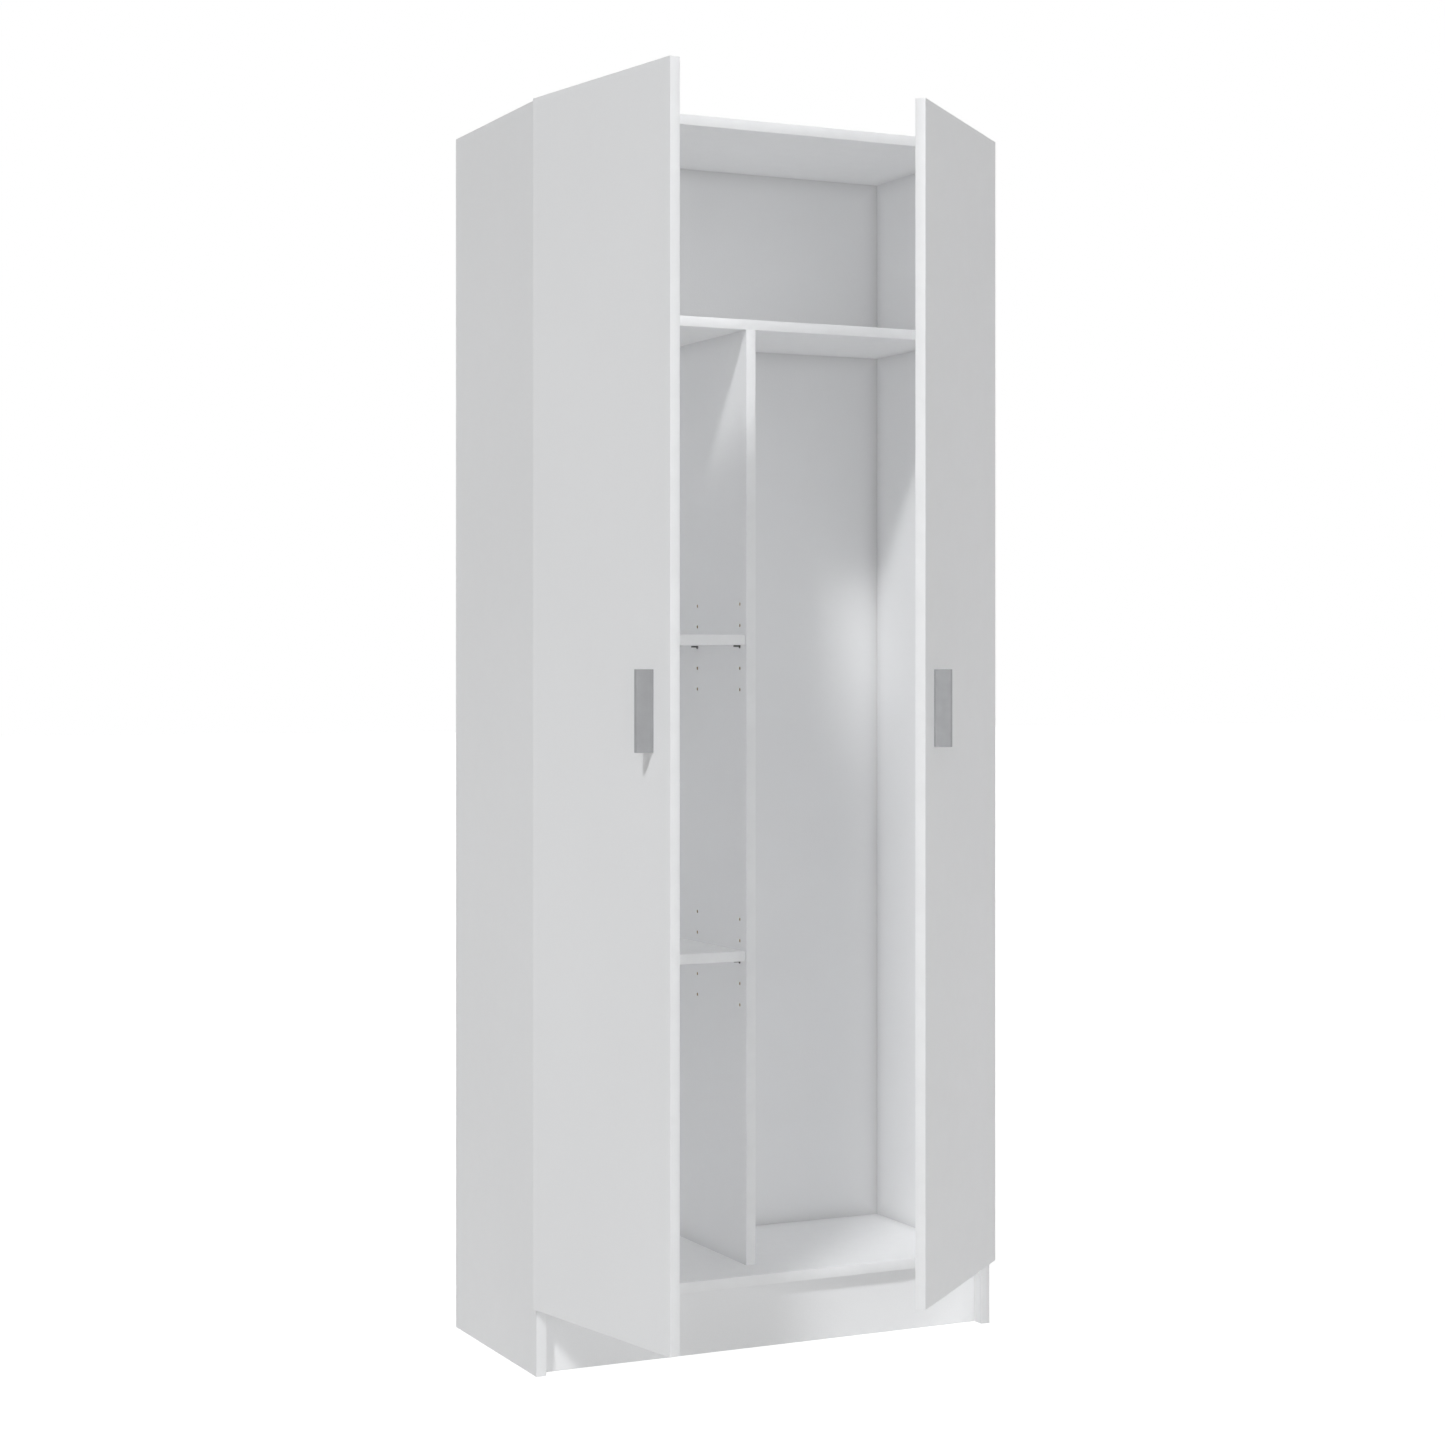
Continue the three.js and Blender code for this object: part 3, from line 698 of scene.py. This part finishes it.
def add_handle(name):
    """The moulding with two bored bosses for its screws."""
    node, place, inwards = f"handle_{name}", door_place(name), -SIDES[name]
    low, high = corners(node, place)
    face = high.y
    grip = (high.x if inwards > 0 else low.x) - inwards * GRIP_FROM_EDGE
    outline = [(grip - inwards * towards * MM, face - off * MM) for towards, off in handle_section()]
    bm = bmesh.new()
    prism(bm, outline, low.z, high.z, END_ROUND)
    profile = mesh_from(bm, "profile")
    middle = (low.z + high.z) / 2
    radius, height, bore, rim = BOSS["radius"], BOSS["height"], BOSS["bore"], BOSS["rim"]
    bosses, bores = bmesh.new(), bmesh.new()
    for end in (-1, 1):
        z = middle + end * SCREW_SPACING / 2
        at_boss = aimed((grip - inwards * BOSS_FROM_GRIP, face, z), (0, -1, 0))
        turned(bosses, [(0, BOSS["into_door"]), (radius, BOSS["into_door"]), (radius, height - rim),
                        (radius - rim, height), (0, height)], at_boss, steps=28)
        turned(bores, [(0, -MM), (bore, -MM), (bore, height + MM), (0, height + MM)], at_boss, steps=24)
    joined = combined(profile, mesh_from(bosses, "bosses"), "UNION")
    drilled = combined(joined, mesh_from(bores, "bores"), "DIFFERENCE")
    handle = piece(f"handle_{name}_moulding", drilled, "handle", f"{name}_door", place)
    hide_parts(node)


def add_handle_screws(name):
    """Pan-head screws from inside the door into the handle's bosses."""
    place = door_place(name)
    head_height, shank = HANDLE_SCREW["head"], HANDLE_SCREW["shank"]
    for label in ("lower", "upper"):
        node = f"handle_screw_{name}_{label}"
        low, high = corners(node, place)
        axis = ((low.x + high.x) / 2, (low.z + high.z) / 2)
        head_radius = (high.x - low.x) / 2
        head_base = Vector((axis[0], high.y - head_height, axis[1]))
        head = screw_head(head_radius, head_height)
        head.transform(aimed(head_base, (0, 1, 0), spin=25 if label == "upper" else 70))
        bm = bmesh.new()
        bm.from_mesh(head)
        length = head_base.y - low.y
        turned(bm, [(0, 0), (shank, 0), (shank, length - shank * 0.4), (shank * 0.6, length), (0, length)],
               aimed(head_base, (0, -1, 0)), steps=20)
        screw = piece(f"{node}_cross_head", mesh_from(bm, "screw"), "zinc", f"{name}_door", place)
        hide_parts(node)


# --- Hinges ---

CUP = {"flange": 0.8 * MM, "wall": 1.0 * MM, "radius": 17.3 * MM, "corner": 1.8 * MM, "roll": 0.3 * MM}
CUP_WING = {"offset": 6 * MM, "half_width": 7.5 * MM, "round": 0.2 * MM, "mouth_gap": 0.4 * MM}
CUP_SCREWS = {"radius": 3.5 * MM, "height": 1.5 * MM, "from_middle": 24 * MM}
PLATE_SCREWS = {"radius": 3.8 * MM, "height": 1.9 * MM, "from_middle": 16 * MM, "from_front": 18 * MM}
ARM_SCREWS = {"radius": 3.3 * MM, "height": 0.9 * MM, "from_back": (9 * MM, 27 * MM)}


def stadium(half_width, half_length, steps=14):
    """An upright outline with round ends, centred on the origin."""
    reach = half_length - half_width
    return arc((0, reach), half_width, 0, 180, steps) + arc((0, -reach), half_width, 180, 360, steps)


def add_hinge_cup(name, number):
    """The pressed cup in the door: a bowl with a rolled rim, and wings with their two screws."""
    node, place, inwards = f"hinge_cup_{name}_{number}", door_place(name), -SIDES[name]
    low, high = corners(node, place)
    flange = CUP["flange"]
    rim = (high.x - low.x) / 2
    centre = Vector(((low.x + high.x) / 2, high.y - flange, (low.z + high.z) / 2))
    depth = centre.y - low.y
    wall, radius, corner, bead = CUP["wall"], CUP["radius"], CUP["corner"], CUP["roll"]
    inside = radius - wall
    facing = aimed(centre, (0, 1, 0))
    outer = [(radius - corner + x, corner - depth + y) for x, y in arc((0, 0), corner, -90, 0, 5)]
    inner = [(inside - corner + x, corner + wall - depth + y) for x, y in arc((0, 0), corner, 0, -90, 5)]
    roll = arc((rim - bead, flange - bead), bead, 0, 90, 3)
    bowl = [(0, -depth)] + outer + [(radius, 0), (rim, 0)] + roll
    bowl += [(inside + 0.5 * MM, flange), (inside, flange - 0.5 * MM)] + inner + [(0, wall - depth)]
    bm = bmesh.new()
    turned(bm, bowl, facing, steps=56)
    shell = mesh_from(bm, "bowl")

    wing_x, half_width = centre.x + inwards * CUP_WING["offset"], CUP_WING["half_width"]
    wings = bmesh.new()
    prism(wings, stadium(half_width, high.z - centre.z), 0, flange, CUP_WING["round"])
    plate = mesh_from(wings, "wings")
    upright = Matrix(((1, 0, 0, wing_x), (0, 0, -1, centre.y + flange), (0, 1, 0, centre.z), (0, 0, 0, 1)))
    plate.transform(upright)
    opening = bmesh.new()
    mouth = rim - CUP_WING["mouth_gap"]
    turned(opening, [(0, -MM), (mouth, -MM), (mouth, 2 * MM), (0, 2 * MM)], facing, steps=56)
    plate = combined(plate, mesh_from(opening, "mouth"), "DIFFERENCE")
    bm = bmesh.new()
    bm.from_mesh(shell)
    bm.from_mesh(plate)
    cup = piece(f"{node}_pressed", mesh_from(bm, "cup"), "nickel", f"{name}_door", place)
    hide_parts(node)

    head = screw_head(CUP_SCREWS["radius"], CUP_SCREWS["height"], rise=0.2)
    places = []
    for end in (-1, 1):
        at = Vector((wing_x, centre.y + flange, centre.z + end * CUP_SCREWS["from_middle"]))
        places.append(aimed(at, (0, 1, 0), spin=20 + 37 * number + 50 * end))
    piece(f"{node}_screws", repeated(head, places, "screws"), "zinc", f"{name}_door", place)


def add_hinge_screws(name, number):
    """Wood screws in the plate's wings and the two adjusting screws on the arm."""
    side = SIDES[name]
    label = f"{name}_{number}"
    plate_low, plate_high = corners(f"hinge_plate_{label}")
    arm_low, arm_high = corners(f"hinge_arm_{label}")
    inward = Vector((-side, 0, 0))
    plate_face = plate_low.x if side > 0 else plate_high.x
    arm_face = arm_low.x if side > 0 else arm_high.x
    height = (plate_low.z + plate_high.z) / 2
    wing_y = plate_low.y + PLATE_SCREWS["from_front"]
    fixing = []
    for end in (-1, 1):
        at = (plate_face, wing_y, height + end * PLATE_SCREWS["from_middle"])
        fixing.append(aimed(at, inward, spin=15 + 40 * number + 60 * end))
    head = screw_head(PLATE_SCREWS["radius"], PLATE_SCREWS["height"], rise=0.25)
    piece(f"hinge_plate_{label}_screws", repeated(head, fixing, "screws"), "zinc", "cabinet")
    adjusting = []
    for turn, back in enumerate(ARM_SCREWS["from_back"]):
        at = (arm_face, arm_high.y - back, height)
        adjusting.append(aimed(at, inward, spin=30 * number + 9 + 18 * turn))
    head = screw_head(ARM_SCREWS["radius"], ARM_SCREWS["height"], rise=0.6)
    piece(f"hinge_arm_{label}_screws", repeated(head, adjusting, "screws"), "zinc", "cabinet")


# --- Hidden fixings of the carcass ---

CAM = {"radius": 7.3 * MM, "height": 0.5 * MM, "from_end": 24 * MM, "from_front": 45 * MM,
       "from_back": 50 * MM}


def add_cams():
    """Cam fittings, on faces that are out of sight from the front."""
    disc = cam_disc(CAM["radius"], CAM["height"])
    for node, up in (("top_panel", 1), ("upper_shelf", 1), ("bottom_panel", -1)):
        low, high = corners(node)
        z = high.z if up > 0 else low.z
        places = []
        for x, spin in ((low.x + CAM["from_end"], 0), (high.x - CAM["from_end"], 90)):
            for y in (low.y + CAM["from_front"], high.y - CAM["from_back"]):
                places.append(aimed((x, y, z), (0, 0, up), spin=spin + 15))
        piece(f"{node}_cams", repeated(disc, places, "cams"), "zinc", "cabinet")
    low, high = corners("plinth")
    middle = (low.z + high.z) / 2
    places = [aimed((x, high.y, middle), (0, 1, 0), spin=20)
              for x in (low.x + CAM["from_end"], high.x - CAM["from_end"])]
    piece("plinth_cams", repeated(disc, places, "cams"), "zinc", "cabinet")


NAIL = {"spacing": 142 * MM, "radius": 1.9 * MM, "height": 0.6 * MM}


def evenly(start, stop, spacing):
    """Places from start to stop, evenly spread at about the given spacing."""
    count = max(1, round((stop - start) / spacing))
    return [start + (stop - start) * step / count for step in range(count + 1)]


def add_back_nails():
    """Flat-headed nails through the back panel into the middle of every board behind it."""
    back = corners("back_panel")[1].y
    side = corners("side_panel_right")
    half_board = (side[1].x - side[0].x) / 2
    rows = set()
    edge_x = side[1].x - half_board
    top = corners("top_panel")[1].z - half_board
    bottom = corners("bottom_panel")[1].z - half_board
    shelf = corners("upper_shelf")[1].z - half_board
    for z in evenly(bottom, top, NAIL["spacing"]):
        rows.update({(-edge_x, z), (edge_x, z)})
    for x in evenly(-edge_x, edge_x, NAIL["spacing"])[1:-1]:
        rows.update({(x, top), (x, bottom), (x, shelf)})
    for z in evenly(bottom, shelf, 2 * NAIL["spacing"])[1:-1]:
        rows.add((0, z))
    head = nail_head(NAIL["radius"], NAIL["height"])
    places = [aimed((x, back, z), (0, 1, 0)) for x, z in sorted(rows)]
    piece("back_panel_nails", repeated(head, places, "nails"), "zinc", "cabinet")


# --- Camera, light and floor ---

def add_camera():
    data = bpy.data.cameras.new("camera")
    data.lens = LENS
    data.sensor_width = 36
    data.shift_x, data.shift_y = SHIFT
    camera = bpy.data.objects.new("camera", data)
    camera.location = CAMERA_PLACE
    camera.rotation_euler = (math.radians(90), 0, math.radians(-CAMERA_YAW))
    bpy.context.scene.collection.objects.link(camera)
    bpy.context.scene.camera = camera


def add_sun(name, azimuth, elevation, spread, strength, shadow=True):
    """A far, soft light. Azimuth 0 is in front and 90 to the right; spread is its width in degrees."""
    a, e = math.radians(azimuth), math.radians(elevation)
    towards = Vector((math.sin(a) * math.cos(e), -math.cos(a) * math.cos(e), math.sin(e)))
    data = bpy.data.lights.new(name, "SUN")
    data.angle = math.radians(spread)
    data.energy = strength
    data.color = LIGHT_COLOUR
    data.use_shadow = shadow
    data.cycles.use_multiple_importance_sampling = shadow
    light = bpy.data.objects.new(name, data)
    light.location = towards * SUN_DISTANCE
    light.rotation_mode = "QUATERNION"
    light.rotation_quaternion = towards.to_track_quat("Z", "Y")
    bpy.context.scene.collection.objects.link(light)


def add_floor():
    """A white floor: the camera sees it as plain white, and it throws only a little light back."""
    bm = bmesh.new()
    block(bm, (-FLOOR_HALF, -FLOOR_HALF, -0.02), (FLOOR_HALF, FLOOR_HALF, 0))
    mesh = mesh_from(bm, "floor")
    recipe = Recipe("floor_white", roughness=0.8, specular=0.1)
    recipe.shader.inputs["Emission Color"].default_value = (1, 1, 1, 1)
    seen = recipe.add("ShaderNodeLightPath").outputs["Is Camera Ray"]
    recipe.feed(recipe.shader.inputs["Emission Strength"], recipe.math("MAXIMUM", seen, FLOOR_GLOW))
    tone = recipe.ramp(recipe.noise(0.6), [(0.35, FLOOR_TONE * 0.95), (0.65, FLOOR_TONE)])
    mesh.materials.append(recipe.finish(tone))
    floor = bpy.data.objects.new("floor", mesh)
    bpy.context.scene.collection.objects.link(floor)


def add_world():
    """A white surround that lights the scene softly and shows as plain white."""
    world = bpy.data.worlds.new("studio")
    world.use_nodes = True
    nodes, links = world.node_tree.nodes, world.node_tree.links
    background = nodes["Background"]
    background.inputs["Color"].default_value = (1, 1, 1, 1)
    background.inputs["Strength"].default_value = SURROUND
    seen = nodes.new("ShaderNodeBackground")
    seen.inputs["Color"].default_value = (1, 1, 1, 1)
    mixed = nodes.new("ShaderNodeMixShader")
    links.new(nodes.new("ShaderNodeLightPath").outputs["Is Camera Ray"], mixed.inputs["Fac"])
    links.new(background.outputs["Background"], mixed.inputs[1])
    links.new(seen.outputs["Background"], mixed.inputs[2])
    links.new(mixed.outputs["Shader"], nodes["World Output"].inputs["Surface"])
    bpy.context.scene.world = world


def add_studio():
    bpy.context.scene.view_settings.view_transform = "Standard"
    for name, sun in SUNS.items():
        add_sun(name, **sun)
    add_world()
    add_floor()


add_camera()
add_studio()
dress_cad_nodes()
add_edge_bands()

for door in SIDES:
    add_handle(door)
    add_handle_screws(door)
    for number in (1, 2, 3):
        add_hinge_cup(door, number)
        add_hinge_screws(door, number)
for pin_node, hole_place, way_out in list(pin_holes()):
    add_shelf_pin(pin_node, hole_place, way_out)
add_hole_linings()
add_cams()
add_back_nails()
